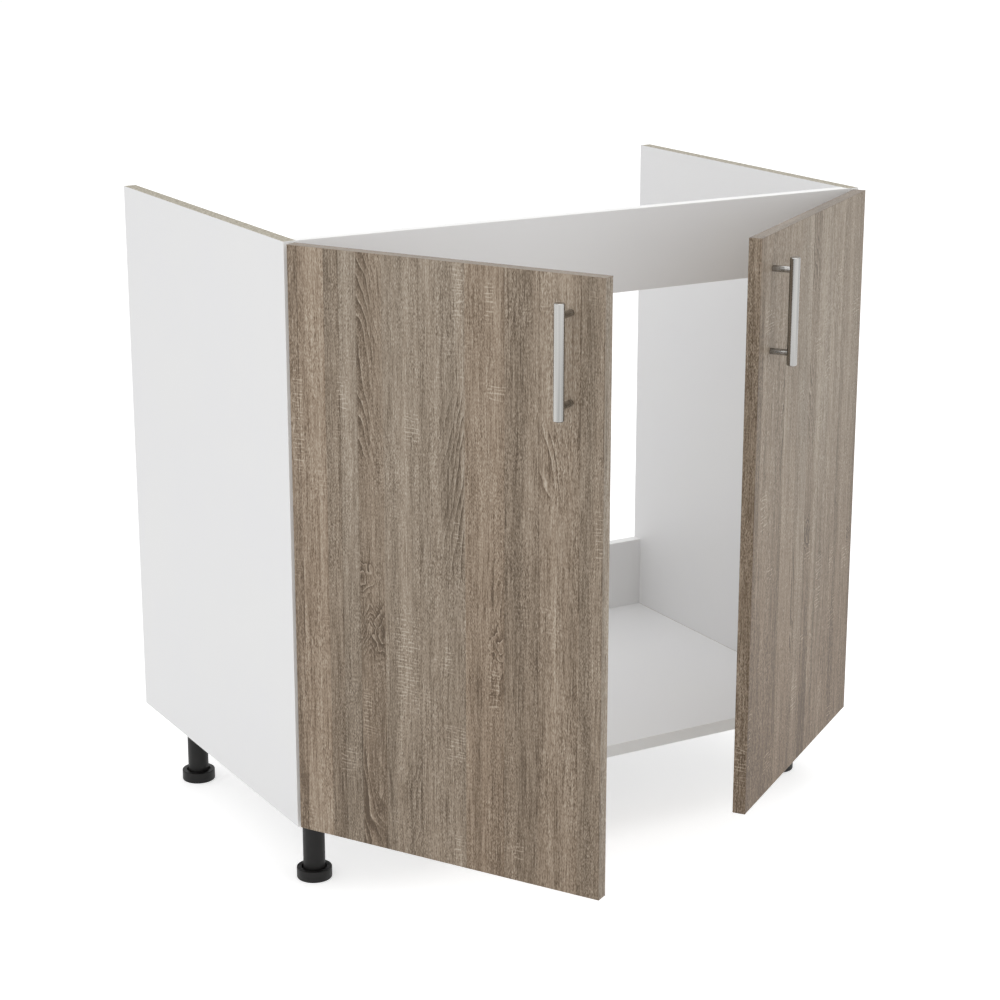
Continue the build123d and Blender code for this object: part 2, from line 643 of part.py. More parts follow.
def adjustable_foot():
    """The round foot with a recess round the tube and a threaded stem."""
    foot = rod((0, 0, 0), (0, 0, 1), FOOT_RADIUS, FOOT_HEIGHT)
    rims = circles(foot).group_by(Axis.Z)
    foot = fillet(rims[0], 1.4)
    foot = fillet(circles(foot).group_by(Axis.Z)[-1], 0.9)
    recess_floor = FOOT_HEIGHT - FOOT_RECESS_DEPTH
    foot -= rod((0, 0, recess_floor), (0, 0, 1), FOOT_RECESS_RADIUS, FOOT_RECESS_DEPTH + 1)
    stem = rod((0, 0, recess_floor - 1), (0, 0, 1), STEM_RADIUS, STEM_TOP - recess_floor + 1)
    return foot + chamfer(circles(stem).group_by(Axis.Z)[-1], 1.0)


def socket_screw(x, y):
    """A countersunk screw from a leg socket into the bottom panel."""
    face = BASE_Z - SOCKET_FLANGE
    head = rod((x, y, face), (0, 0, 1), 3.3, 1.6, 1.7)
    screw = head + rod((x, y, face + 1.5), (0, 0, 1), 1.7, 13)
    for size in ((0.6, 3.6), (3.6, 0.6)):
        screw -= Pos(x, y, face) * Box(size[0], size[1], 1.8)
    return screw


def make_legs():
    """Writes the four sockets, tubes and feet, and the sockets' screws."""
    socket, tube, foot = leg_socket(), leg_tube(), adjustable_foot()
    for name, (x, y) in leg_places().items():
        save("leg_socket_" + name, Pos(x, y, 0) * socket)
        save("leg_tube_" + name, Pos(x, y, 0) * tube)
        save("adjustable_foot_" + name, Pos(x, y, 0) * foot)
    save("socket_screws", *[socket_screw(x, y) for x, y in socket_screw_points()])


os.makedirs("parts", exist_ok=True)
make_carcase()
make_hinges()
make_doors()
make_legs()
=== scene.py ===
from math import radians

import bpy
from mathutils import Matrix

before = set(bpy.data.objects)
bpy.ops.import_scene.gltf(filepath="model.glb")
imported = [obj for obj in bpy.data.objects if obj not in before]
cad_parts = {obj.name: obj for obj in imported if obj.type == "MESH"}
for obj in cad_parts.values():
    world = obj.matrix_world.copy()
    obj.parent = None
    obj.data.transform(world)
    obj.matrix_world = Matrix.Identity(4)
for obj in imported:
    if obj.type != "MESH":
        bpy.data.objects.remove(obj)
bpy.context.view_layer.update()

# The camera stands to the left of the cabinet and looks down at it. Angles are in degrees.
CAMERA_PLACE = (-1.500, -2.450, 1.253)
CAMERA_PAN = 29.96
CAMERA_TILT = 15.98
CAMERA_LENS = 86.1

# How strong the even light from all round is on the object, beside the two soft lamps.
ROOM_LIGHT = 0.83
# How much the floor shines of itself, which makes it look white.
FLOOR_GLOW = 0.52
FLOOR_COLOUR = (0.84, 0.84, 0.84, 1.0)
FLOOR_HALF_SIZE = 14.0
WHITE = (1.0, 1.0, 1.0, 1.0)

# Limits that tell the white boards apart, in metres: each side panel lies beyond the first
# from the middle, the rear rail behind the second and the bottom panel below the third.
SIDES_START = 0.3835
REAR_RAIL_START = 0.4
BOTTOM_PANEL_TOP = 0.1159
# A face looks one way when this much of its direction lies that way.
FACING = 0.7

# Sizes repeated from the part's source. In metres: how far each door's pivot lies from the
# middle, and its place from front to back. In millimetres: how far it lies from the door's
# hinge edge and from its outer face, and half of a door's thickness.
PIVOT_X = 0.3925
PIVOT_Y = -0.074
PIVOT_INSET = 6.0
DOOR_HALF_THICKNESS = 8.0


def srgb(red, green, blue):
    """A colour written as 0 to 255, turned into the linear values that shaders take."""
    channels = []
    for value in (red, green, blue):
        value /= 255
        channels.append(value / 12.92 if value <= 0.04045 else ((value + 0.055) / 1.055) ** 2.4)
    return (*channels, 1.0)


class Graph:
    """The node tree of a material or a world, with short ways to add nodes and link them."""

    def __init__(self, owner):
        self.owner = owner
        owner.use_nodes = True
        self.tree = owner.node_tree
        self.tree.nodes.clear()

    def put(self, socket, value):
        """Links a socket to another node's output, or writes a plain value in it."""
        if isinstance(value, bpy.types.NodeSocket):
            self.tree.links.new(value, socket)
        elif value is not None:
            socket.default_value = value

    def add(self, kind, inputs=None, **settings):
        """Adds a node with its settings and its inputs, which go by name or number."""
        node = self.tree.nodes.new("ShaderNode" + kind)
        for name, value in settings.items():
            setattr(node, name, value)
        for key, value in (inputs or {}).items():
            self.put(node.inputs[key], value)
        return node

    def math(self, operation, a, b=None):
        """One sum on numbers."""
        return self.add("Math", {0: a, 1: b}, operation=operation).outputs[0]

    def chain(self, operation, first, *others):
        """The same sum over several numbers, one after another."""
        for other in others:
            first = self.math(operation, first, other)
        return first

    def plus(self, *terms):
        """The sum of several numbers."""
        return self.chain("ADD", *terms)

    def largest(self, *terms):
        """The largest of several numbers."""
        return self.chain("MAXIMUM", *terms)

    def times(self, a, b):
        """The product of two numbers."""
        return self.math("MULTIPLY", a, b)

    def size(self, value):
        """A number without its sign."""
        return self.math("ABSOLUTE", value)

    def opposite(self, share):
        """1 where a share is 0, and 0 where it is 1."""
        return self.math("SUBTRACT", 1.0, share)

    def swing(self, value, amount):
        """A number around one half, turned into a swing about zero of so much."""
        return self.times(self.math("SUBTRACT", value, 0.5), amount)

    def above(self, value, limit):
        """1 where a number is larger than a limit."""
        return self.math("GREATER_THAN", value, limit)

    def below(self, value, limit):
        """1 where a number is smaller than a limit."""
        return self.math("LESS_THAN", value, limit)

    def step(self, value, low, high, soft=True):
        """Rises from 0 to 1 as a number goes from low to high."""
        kind = "SMOOTHSTEP" if soft else "LINEAR"
        inputs = {"Value": value, "From Min": low, "From Max": high}
        return self.add("MapRange", inputs, interpolation_type=kind).outputs[0]

    def between(self, value, low, high, soft):
        """1 between two limits, with edges of a given softness inside them."""
        return self.times(self.step(value, low, low + soft), self.step(value, high, high - soft))

    def place(self):
        """Where a point lies on its piece, in metres."""
        return self.add("TexCoord").outputs["Object"]

    def normal(self):
        """Which way the piece faces at a point."""
        return self.add("TexCoord").outputs["Normal"]

    def parts(self, vector):
        """The three numbers of a vector."""
        return self.add("SeparateXYZ", {0: vector}).outputs

    def scaled(self, vector, factors):
        """A vector with each of its three numbers multiplied by a factor."""
        node = self.add("VectorMath", {0: vector, 1: factors}, operation="MULTIPLY")
        return node.outputs[0]

    def noise(self, vector, detail=2.0, roughness=0.5, scale=1.0):
        """Soft noise from 0 to 1, around one half."""
        inputs = {"Vector": vector, "Scale": scale, "Detail": detail, "Roughness": roughness}
        return self.add("TexNoise", inputs).outputs[0]

    def grain(self, across, along, across_scale, along_scale, layer, **settings):
        """Noise with a scale of its own across and along the grain, and a layer of its own."""
        inputs = {0: self.times(across, across_scale), 1: self.times(along, along_scale), 2: layer}
        return self.noise(self.add("CombineXYZ", inputs).outputs[0], **settings)

    def ramp(self, value, stops, interpolation="LINEAR"):
        """Colours along a number from 0 to 1. Each stop is a place and a linear colour."""
        node = self.add("ValToRGB", {0: value})
        node.color_ramp.interpolation = interpolation
        elements = node.color_ramp.elements
        while len(elements) < len(stops):
            elements.new(0.5)
        for element, (place, _) in zip(elements, stops):
            element.position = place
        for element, (_, colour) in zip(elements, stops):
            element.color = colour
        return node.outputs[0]

    def colours(self, value, *stops):
        """Colours along a number. Each stop is a place and a colour written as 0 to 255."""
        return self.ramp(value, [(place, srgb(*colour)) for place, colour in stops])

    def mix(self, share, a, b):
        """A mixture of two colours, with a share of the second."""
        # Inputs 6 and 7 and output 2 are the node's sockets for colours.
        node = self.add("Mix", data_type="RGBA")
        self.put(node.inputs[0], share)
        self.put(node.inputs[6], a)
        self.put(node.inputs[7], b)
        return node.outputs[2]

    def bump(self, height, distance, strength):
        """Shading as if the surface rose and fell by a distance in metres."""
        inputs = {"Height": height, "Distance": distance, "Strength": strength}
        return self.add("Bump", inputs).outputs[0]

    def finish(self, **inputs):
        """Ends a material with the standard shader."""
        named = {name.replace("_", " "): value for name, value in inputs.items()}
        shader = self.add("BsdfPrincipled", named)
        self.add("OutputMaterial", {0: shader.outputs[0]})
        return self.owner


def new_material(name):
    """The empty node tree of a new material."""
    return Graph(bpy.data.materials.new(name))


def white_board():
    """White coated board, with raw chipboard where no edge strip covers it."""
    g = new_material("white_board")
    place = g.place()
    x, y, z = g.parts(place)
    _, backwards, upwards = g.parts(g.normal())

    # The coated faces: a very fine pearl texture and a faint unevenness.
    pearl = g.noise(place, detail=3.0, roughness=0.6, scale=900.0)
    cloud = g.noise(place, scale=9.0)
    coated = g.colours(cloud, (0.3, (235, 235, 236)), (0.7, (236, 236, 236)))

    # The raw chipboard: large flakes and small chips.
    chips = g.noise(place, detail=4.0, roughness=0.7, scale=420.0)
    flakes = g.noise(g.scaled(place, (260.0, 150.0, 300.0)))
    rubble = g.plus(g.times(chips, 0.65), g.times(flakes, 0.35))
    raw = g.colours(
        rubble,
        (0.30, (107, 98, 84)),
        (0.44, (154, 147, 132)),
        (0.54, (180, 174, 160)),
        (0.68, (203, 199, 186)),
    )

    # Raw are the edges at the back and the sides' upper and lower edges. The backs of the two
    # rails are coated. The bottom panel lies below the rear rail, and its back edge is raw.
    between_sides = g.below(g.size(x), SIDES_START)
    side_edge = g.times(g.above(g.size(upwards), FACING), g.opposite(between_sides))
    rear_rail = g.times(g.above(y, REAR_RAIL_START), g.above(z, BOTTOM_PANEL_TOP))
    front_rail = g.below(y, 0.0)
    rail = g.times(between_sides, g.largest(rear_rail, front_rail))
    edge = g.times(g.largest(g.above(backwards, FACING), side_edge), g.opposite(rail))

    height = g.plus(g.times(g.opposite(edge), g.times(pearl, 0.06)), g.times(edge, rubble))
    return g.finish(
        Base_Color=g.mix(edge, coated, raw),
        Roughness=g.plus(0.42, g.times(edge, 0.45), g.times(pearl, 0.06)),
        IOR=1.5,
        Normal=g.bump(height, 0.0004, 0.6),
    )


def white_edging():
    """Smooth white edge strip, a little warmer and glossier than the board."""
    g = new_material("white_edging")
    fine = g.noise(g.place(), detail=3.0, roughness=0.6, scale=600.0)
    cloud = g.noise(g.place(), detail=1.0, scale=25.0)
    return g.finish(
        Base_Color=g.colours(cloud, (0.3, (240, 240, 239)), (0.7, (244, 244, 243))),
        Roughness=g.plus(0.34, g.times(fine, 0.1)),
        IOR=1.5,
        Normal=g.bump(fine, 0.00004, 0.5),
    )


# The boards in the printed oak, from the hinge edge of a door: where each one starts in
# millimetres, how pale and how warm it is, and a number of its own.
LEFT_BOARDS = [
    (0, 0.36, 0.70, 0.13),
    (13, 0.54, 0.95, 0.13),
    (47, 0.40, 0.35, 0.71),
    (66, 0.50, 0.15, 0.71),
    (90, 0.43, 0.50, 0.37),
    (122, 0.52, 0.22, 0.37),
    (170, 0.51, 0.22, 0.92),
    (227, 0.46, 0.80, 0.27),
    (276, 0.40, 0.42, 0.58),
    (319, 0.50, 0.58, 0.83),
    (369, 0.42, 0.30, 0.05),
    (397, 0.58, 0.10, 0.45),
]
RIGHT_BOARDS = [
    (0, 0.46, 0.25, 0.66),
    (24, 0.56, 0.30, 0.66),
    (65, 0.48, 0.30, 0.19),
    (79, 0.59, 0.30, 0.19),
    (123, 0.61, 0.20, 0.47),
    (175, 0.47, 0.28, 0.88),
    (205, 0.61, 0.10, 0.31),
    (232, 0.51, 0.15, 0.31),
    (248, 0.58, 0.38, 0.97),
    (297, 0.48, 0.36, 0.54),
    (343, 0.52, 0.48, 0.09),
    (382, 0.37, 0.55, 0.09),
    (397, 0.48, 0.45, 0.74),
]

# Where the saw has left pale marks across the grain: the middle and half the size of each
# patch, in millimetres from the hinge edge and from the floor.
LEFT_SAW_PATCHES = [
    (152, 339, 20, 72),
    (71, 202, 14, 26),
    (215, 250, 17, 30),
    (160, 610, 12, 22),
    (219, 763, 9, 36),
    (393, 520, 6, 36),
    (10, 600, 9, 80),
    (265, 325, 9, 34),
    (70, 635, 9, 28),
    (267, 662, 14, 12),
    (98, 266, 7, 36),
    (206, 349, 8, 20),
    (296, 140, 8, 16),
    (218, 127, 8, 20),
    (258, 759, 7, 28),
    (218, 498, 7, 22),
]
RIGHT_SAW_PATCHES = [
    (133, 598, 14, 20),
    (20, 655, 16, 14),
    (360, 698, 18, 18),
    (173, 635, 12, 14),
    (87, 338, 10, 20),
    (140, 320, 14, 50),
    (30, 324, 12, 20),
    (187, 374, 14, 16),
    (77, 261, 16, 28),
    (200, 266, 12, 10),
    (223, 198, 14, 28),
    (333, 385, 12, 18),
    (390, 198, 8, 50),
    (404, 165, 10, 36),
    (70, 118, 12, 18),
    (320, 145, 16, 18),
    (362, 470, 14, 30),
]

# Growth rings cut open by a board's face. Each set lies between two borders and two heights,
# bends at a line, falls (below 0) or rises away from it by so much a millimetre, has its rings
# so far apart, is strongest at its heart, and is so much crumpled.
LEFT_ARCHES = [
    (90, 170, 680, 830, 82, -3.0, 24, 94, 0.5),
    (90, 150, 545, 715, 82, -3.6, 34, 92, 0.5),
    (90, 122, 322, 420, 103, -1.7, 9, 104, 2.0),
    (90, 170, 60, 238, 172, 4.4, 44, 93, 0.3),
    (90, 122, 60, 200, 172, 4.4, 88, 90, 0.3),
    (140, 170, 90, 250, 84, 5.0, 36, 178, 0.5),
    (170, 227, 430, 670, 236, -4.8, 34, 224, 0.5),
    (227, 276, 395, 470, 292, -8.0, 44, 276, 1.2),
    (227, 276, 290, 366, 294, -5.0, 70, 278, 1.5),
    (319, 369, 540, 650, 308, -4.0, 34, 330, 0.5),
]
RIGHT_ARCHES = [
    (175, 205, 690, 830, 216, -3.4, 30, 202, 0.7),
    (175, 205, 500, 640, 222, -5.2, 40, 202, 0.9),
    (175, 205, 60, 200, 214, -4.2, 30, 200, 0.5),
    (232, 248, 240, 400, 222, 6.4, 60, 248, 0.8),
    (297, 343, 500, 680, 286, -4.2, 44, 297, 0.8),
]

# Knots cut by a board's border: the middle, half the size, and the two borders.
LEFT_KNOTS = [
    (280, 380, 24, 32, 227, 276),
    (92, 430, 24, 26, 90, 122),
    (120, 368, 22, 36, 90, 122),
]
RIGHT_KNOTS = [
    (194, 398, 16, 30, 175, 205),
    (20, 350, 14, 14, 0, 24),
]

# All of a door's print together. The rings and the saw marks have a strength. From the painted
# shade's start down to its end the print gets darker and warmer by so much: painted shade for the
# light that falls off towards the floor. The tone is added to all of the print, and the level
# shading to the strips on the door's top and bottom: painted shade on the left door and painted
# light on the right door, for how light from above falls on them.
LEFT_PRINT = {
    "boards": LEFT_BOARDS,
    "saw_patches": LEFT_SAW_PATCHES,
    "arches": LEFT_ARCHES,
    "knots": LEFT_KNOTS,
    "rings": 1.15,
    "saw": 0.36,
    "painted_shade_start": 760.0,
    "painted_shade_depth": 0.10,
    "painted_shade_warmth": 0.16,
    "tone": -0.015,
    "level_painted_shading": -0.060,
}
RIGHT_PRINT = {
    "boards": RIGHT_BOARDS,
    "saw_patches": RIGHT_SAW_PATCHES,
    "arches": RIGHT_ARCHES,
    "knots": RIGHT_KNOTS,
    "rings": 1.10,
    "saw": 0.44,
    "painted_shade_start": 560.0,
    "painted_shade_depth": 0.30,
    "painted_shade_warmth": 0.84,
    "tone": -0.120,
}
# The right door's edge strips keep a more even tone from top to bottom, with weaker painted shade
# towards the floor, and painted light on their top and bottom strips.
RIGHT_STRIP_PRINT = {
    **RIGHT_PRINT,
    "painted_shade_start": 760.0,
    "painted_shade_depth": 0.08,
    "painted_shade_warmth": 0.30,
    "tone": -0.100,
    "level_painted_shading": 0.020,
}
# Where the painted shade towards the floor is full, in millimetres from the floor.
PAINTED_SHADE_END = 120.0

# Each door: the side of the middle that it hinges on, how far it is turned at rest in degrees,
# and the prints on its board and on its strips.
DOORS = {
    "left": {"sign": -1, "turn": -60.0, "board": LEFT_PRINT, "strips": LEFT_PRINT},
    "right": {"sign": 1, "turn": 35.0, "board": RIGHT_PRINT, "strips": RIGHT_STRIP_PRINT},
}

# More sizes of the print, in millimetres: the width that the boards are listed over, the line
# between two boards, how far from their heart the rings fade, and the saw marks' spacing.
PRINT_SPAN = 420.0
BORDER_WIDTH = 1.5
RING_FADE = 19.0
TOOTH_SPACING = 4.3
# The boards' borders cut the arches and knots off this softly, and arches end this softly.
CUT_SOFTNESS = 0.8
ARCH_SOFTNESS = 34.0
# A patch of saw marks is full out to this share of its size. Elsewhere they are this strong.
PATCH_CORE = 0.55
LOOSE_MARKS = 0.55
# Knots are this much stronger than arches.
KNOT_STRENGTH = 1.10
# A board's number of its own, times this, is the layer that its noise is read from.
LAYER_SPACING = 97.0

# The inner face reads the print mirrored about half of the first number and moved up by the
# second. The top and bottom strips read it from a place this far across.
INNER_MIRROR = 403.0
INNER_RISE = 1370.0
LEVEL_STRIP_PLACE = 186.0
# On the upright strips the print moves on by this much for each millimetre of depth.
STRIP_PACE = 0.9
# A strip is level where more than this much of its direction is upright. The level strips are
# mixed with a grey by so much.
STRIP_LEVEL = 0.6
LEVEL_GREYNESS = 0.45
LEVEL_GREY = srgb(141, 134, 127)

# The oak's colours from dark to pale, where it is cool and where it is warm.
COOL_OAK = [
    (0.0, (82, 69, 54)),
    (0.3, (120, 107, 91)),
    (0.5, (143, 130, 114)),
    (0.7, (162, 150, 135)),
    (1.0, (190, 180, 166)),
]
WARM_OAK = [
    (0.0, (86, 69, 52)),
    (0.3, (126, 107, 87)),
    (0.5, (149, 131, 112)),
    (0.7, (168, 151, 132)),
    (1.0, (192, 179, 161)),
]


def sawtooth_lines(g, phase):
    """Dark bands that end in a thin pale line, once in every unit of a number."""
    tooth = g.math("FRACT", phase)
    band = g.math("POWER", tooth, 2.2)
    pale_line = g.times(g.step(tooth, 0.0, 0.07), g.step(tooth, 0.22, 0.10))
    return g.plus(g.times(band, -0.52), g.times(pale_line, 0.20))


def arch_lines(g, across, side, along, uneven, crumpled, arches, strength):
    """The change in paleness from growth rings cut open by the boards' faces."""
    changes = []
    for left, right, low, high, line, slope, spacing, heart, crumple in arches:
        away = g.size(g.plus(side, -line))
        height = g.plus(g.times(away, -slope), along)
        bent = g.times(height, 1 / spacing)
        phase = g.plus(bent, g.swing(uneven, 3.2), g.swing(crumpled, crumple))
        from_heart = g.size(g.plus(side, -heart))
        fade = g.math("EXPONENT", g.times(from_heart, -1 / RING_FADE))
        inside = g.times(
            g.between(across, left, right, CUT_SOFTNESS),
            g.between(along, low, high, ARCH_SOFTNESS),
        )
        shown = g.times(inside, g.times(fade, strength))
        changes.append(g.times(sawtooth_lines(g, phase), shown))
    return g.plus(*changes)


def knot_lines(g, across, side, along, uneven, crumpled, knots, strength):
    """The change in paleness from knots that a board's border cuts."""
    changes = []
    for middle_x, middle_z, half_x, half_z, left, right in knots:
        dx = g.times(g.plus(side, -middle_x), 1 / half_x)
        dz = g.times(g.plus(along, -middle_z), 1 / half_z)
        away = g.math("SQRT", g.plus(g.times(dx, dx), g.times(dz, dz)))
        phase = g.plus(g.times(away, -2.4), g.swing(uneven, 3.0), g.swing(crumpled, 2.6))
        inside = g.times(g.between(across, left, right, CUT_SOFTNESS), g.step(away, 1.2, 0.4))
        changes.append(g.times(sawtooth_lines(g, phase), g.times(inside, strength)))
    return g.plus(*changes)


def oak_boards(g, across, along, boards):
    """How pale and how warm the board at a point is, its layer of noise, and its border."""
    stops = [(start / PRINT_SPAN, (pale, warm, own, 1.0)) for start, pale, warm, own in boards]

    def board_at(distance):
        board = g.ramp(g.times(distance, 1 / PRINT_SPAN), stops, "CONSTANT")
        return g.add("SeparateColor", {0: board}).outputs

    pale, warm, own = board_at(across)
    layer = g.times(own, LAYER_SPACING)

    # A thin dark line, broken here and there, where one board ends and the next begins.
    next_pale = board_at(g.plus(across, BORDER_WIDTH))[0]
    differs = g.above(g.size(g.math("SUBTRACT", next_pale, pale)), 0.005)
    joined = g.grain(across, along, 0.02, 0.012, 3.0, detail=1.0)
    border = g.times(differs, g.step(joined, 0.42, 0.58))
    return pale, warm, layer, border


def saw_marks(g, across, along, layer, patches):
    """Pale marks across the grain where the saw passed, strong in patches, weak elsewhere."""
    insides = []
    for middle_x, middle_z, half_x, half_z in patches:
        dx = g.size(g.plus(across, -middle_x))
        dz = g.size(g.plus(along, -middle_z))
        near_x = g.step(dx, half_x, half_x * PATCH_CORE)
        near_z = g.step(dz, half_z, half_z * PATCH_CORE)
        insides.append(g.times(near_x, near_z))
    anywhere = g.grain(across, along, 0.030, 0.018, g.plus(layer, 9.0))
    loose = g.times(g.step(anywhere, 0.58, 0.72), LOOSE_MARKS)
    patch = g.largest(*insides, loose)

    jitter = g.times(g.grain(across, along, 0.018, 0.05, layer), 3.0)
    tooth = g.math("FRACT", g.plus(g.times(along, 1 / TOOTH_SPACING), jitter))
    tooth_line = g.times(g.step(tooth, 0.0, 0.16), g.step(tooth, 0.46, 0.26))
    broken = g.grain(across, along, 0.12, 0.23, layer, detail=1.0)
    return g.times(g.times(tooth_line, g.step(broken, 0.42, 0.54)), patch)


def oak_pattern(g, across, along, design):
    """Rough-sawn oak in upright boards: its paleness, its warmth and its height."""
    pale, warm, layer, border = oak_boards(g, across, along, design["boards"])

    # The grain wanders slowly to either side.
    side = g.plus(across, g.swing(g.grain(across, along, 0.010, 0.0060, layer), 8.0))

    uneven = g.grain(side, along, 0.035, 0.012, layer, detail=1.5)
    crumpled = g.grain(side, along, 0.10, 0.06, 5.0, detail=1.0)
    ring_places = (g, across, side, along, uneven, crumpled)
    rings = g.plus(
        arch_lines(*ring_places, design["arches"], design["rings"]),
        knot_lines(*ring_places, design["knots"], KNOT_STRENGTH * design["rings"]),
    )

    # Streaks along the grain, from broad to fine.
    broad = g.grain(side, along, 0.07, 0.0022, layer)
    middle = g.grain(side, along, 0.26, 0.006, layer)
    fine = g.grain(side, along, 0.80, 0.026, layer, roughness=0.7)
    fibre = g.grain(side, along, 4.0, 0.10, g.plus(layer, 8.0), detail=1.0)
    crack = g.step(g.grain(side, along, 0.60, 0.014, g.plus(layer, 4.0)), 0.58, 0.66)

    # Pores and flecks: short dashes, dark where they are open and pale where they are filled.
    curled = g.plus(side, g.times(g.grain(side, along, 0.09, 0.04, layer), 5.0))
    flecks = g.grain(curled, along, 0.90, 0.18, layer, detail=1.0, roughness=0.6)
    dashes = g.grain(curled, along, 1.90, 0.36, g.plus(layer, 6.0), detail=0.0)
    open_pore = g.step(flecks, 0.57, 0.70)
    filled_pore = g.step(flecks, 0.43, 0.32)
    busy = g.step(g.grain(side, along, 0.05, 0.010, layer), 0.38, 0.66)

    saw = saw_marks(g, across, along, layer, design["saw_patches"])

    # Painted shade: the print is a little darker and warmer towards the floor, for the light that
    # falls off there.
    low_painted_shade = g.step(along, design["painted_shade_start"], PAINTED_SHADE_END, soft=False)

    paleness = g.plus(
        pale,
        rings,
        g.swing(broad, 0.54),
        g.swing(middle, 0.42),
        g.swing(fine, 0.88),
        g.swing(fibre, 0.50),
        g.times(crack, -0.20),
        g.times(border, -0.20),
        # Painted shade towards the floor.
        g.swing(low_painted_shade, -design["painted_shade_depth"]),
        g.swing(flecks, g.plus(0.9, g.times(busy, 0.8))),
        g.swing(dashes, g.plus(0.65, g.times(busy, 0.45))),
        g.times(open_pore, g.plus(-0.10, g.times(busy, -0.16))),
        g.times(filled_pore, g.plus(0.10, g.times(busy, 0.10))),
        g.times(saw, design["saw"]),
    )
    # The painted shade also makes the print warmer towards the floor.
    warmth = g.plus(warm, g.swing(broad, 0.6), g.times(low_painted_shade, design["painted_shade_warmth"]))
    relief = g.plus(
        g.times(fine, 0.5),
        g.times(open_pore, -0.8),
        g.times(saw, 0.3),
        g.times(middle, 0.3),
    )
    return paleness, warmth, relief


def place_on_door(g, door):
    """Millimetres from a door's hinge edge, from its outer face and from the floor.

    They are read as if the door were closed, so the print is fixed to the door."""
    turned_back = {
        "Vector": g.place(),
        "Location": (door["sign"] * PIVOT_X, PIVOT_Y, 0.0),
        "Rotation": (0.0, 0.0, radians(door["turn"])),
    }
    x, y, z = g.parts(g.add("Mapping", turned_back, vector_type="TEXTURE").outputs[0])
    across = g.plus(g.times(x, -1000.0 * door["sign"]), PIVOT_INSET)
    deep = g.plus(g.times(y, 1000.0), PIVOT_INSET)
    return across, deep, g.times(z, 1000.0)


def finish_oak(g, paleness, warmth, relief, level=None):
    """Grey-brown oak from its pattern. A level strip, seen from above or below, is greyer."""
    cool = g.colours(paleness, *COOL_OAK)
    warm = g.colours(paleness, *WARM_OAK)
    colour = g.mix(warmth, cool, warm)
    if level is not None:
        colour = g.mix(g.times(level, LEVEL_GREYNESS), colour, LEVEL_GREY)
    return g.finish(
        Base_Color=colour,
        Roughness=g.plus(0.52, g.times(relief, 0.10)),
        IOR=1.45,
        Normal=g.bump(relief, 0.0002, 0.55),
    )


def oak_board(name, door):
    """The oak on a door's board, whose inner face has a print of its own."""
    g = new_material(name)
    across, deep, along = place_on_door(g, door)
    inner = g.above(deep, DOOR_HALF_THICKNESS)
    mirrored = g.times(across, g.plus(1.0, g.times(inner, -2.0)))
    across = g.plus(mirrored, g.times(inner, INNER_MIRROR))
    along = g.plus(along, g.times(inner, INNER_RISE))

    design = door["board"]
    paleness, warmth, relief = oak_pattern(g, across, along, design)
    return finish_oak(g, g.plus(paleness, design["tone"]), warmth, relief)


def oak_strips(name, door):
    """The oak on a door's edge strips. On the top and bottom strips the print lies across."""
    g = new_material(name)
    across, deep, along = place_on_door(g, door)
    level = g.above(g.size(g.parts(g.normal())[2]), STRIP_LEVEL)
    upright = g.opposite(level)
    round_edge = g.times(upright, g.plus(across, g.times(deep, STRIP_PACE)))
    print_across = g.plus(round_edge, g.times(level, g.plus(deep, LEVEL_STRIP_PLACE)))
    print_along = g.plus(g.times(upright, along), g.times(level, across))

    design = door["strips"]
    paleness, warmth, relief = oak_pattern(g, print_across, print_along, design)
    # Painted shade on the left door's top and bottom strips and painted light on the right door's,
    # for how light from above falls on them.
    paleness = g.plus(paleness, g.times(level, design["level_painted_shading"]), design["tone"])
    return finish_oak(g, paleness, warmth, relief, level)


def brushed_steel():
    """Satin steel with fine brush lines and soft bands along the bar."""
    g = new_material("brushed_steel")
    lines = g.noise(g.scaled(g.place(), (3200.0, 3200.0, 55.0)), detail=3.0, roughness=0.7)
    bands = g.noise(g.scaled(g.place(), (230.0, 230.0, 4.0)), detail=1.0)
    colour = g.colours(
        bands,
        (0.32, (152, 152, 150)),
        (0.46, (168, 167, 165)),
        (0.62, (184, 183, 180)),
    )
    return g.finish(
        Base_Color=colour,
        Metallic=1.0,
        Roughness=g.plus(0.13, g.times(lines, 0.14)),
        Anisotropic=0.3,
        Normal=g.bump(lines, 0.00003, 0.6),
    )


def plated(name, dark, light, roughness, scale):
    """Plated or cast metal with a faint unevenness in tone and gloss."""
    g = new_material(name)
    cloud = g.noise(g.place(), detail=3.0, roughness=0.6, scale=scale)
    fine = g.noise(g.place(), detail=3.0, roughness=0.7, scale=scale * 14)
    return g.finish(
        Base_Color=g.colours(cloud, (0.3, dark), (0.7, light)),
        Metallic=1.0,
        Roughness=g.plus(roughness - 0.06, g.times(fine, 0.14)),
        Normal=g.bump(fine, 0.00003, 0.5),
    )


def leg_plastic():
    """Black moulded plastic with a fine spark texture and a slight sheen."""
    g = new_material("leg_plastic")
    spark = g.noise(g.place(), detail=3.0, roughness=0.7, scale=1400.0)
    cloud = g.noise(g.place(), scale=70.0)
    return g.finish(
        Base_Color=g.colours(cloud, (0.3, (17, 16, 15)), (0.7, (24, 23, 22))),
        Roughness=g.plus(0.42, g.times(spark, 0.14)),
        IOR=1.38,
        Normal=g.bump(spark, 0.00012, 0.6),
    )


